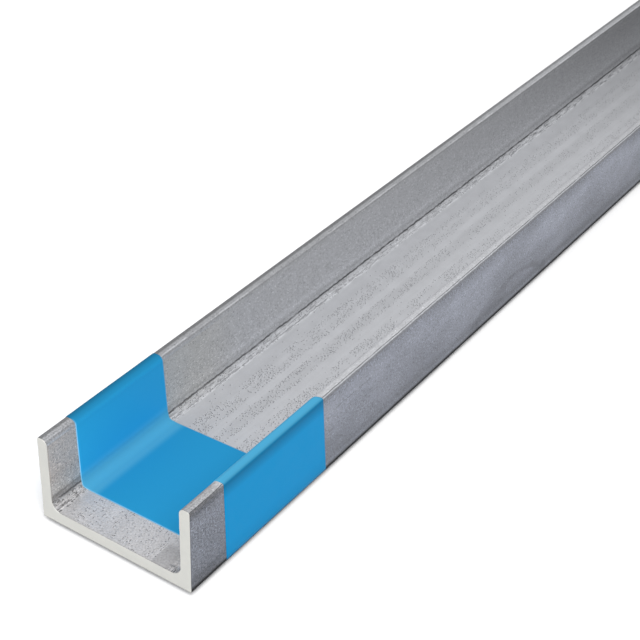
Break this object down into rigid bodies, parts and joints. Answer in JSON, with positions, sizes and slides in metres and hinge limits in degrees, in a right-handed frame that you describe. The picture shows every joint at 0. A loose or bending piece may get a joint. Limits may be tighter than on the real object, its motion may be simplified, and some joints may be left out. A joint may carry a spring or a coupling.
{
  "type": "steel channel section",
  "caption": "Length of rolled steel channel with parallel flanges, sawn square at both ends, with a plain blue film band wrapped around it near one end.",
  "frame": {"origin": "middle of the back of the web, halfway along the bar", "axes": "+Y along the bar, away from the end with the film band; +Z from the web towards the flange tips; +X across the trough"},
  "size_m": [0.0754, 1, 0.0402],
  "materials": {
    "steel": "mill finish, rolled, lightly pitted",
    "film": "semi-gloss self-adhesive film"
  },
  "bodies": {
    "root": {"channel": "steel", "film_band": "film"}
  },
  "joints": []
}
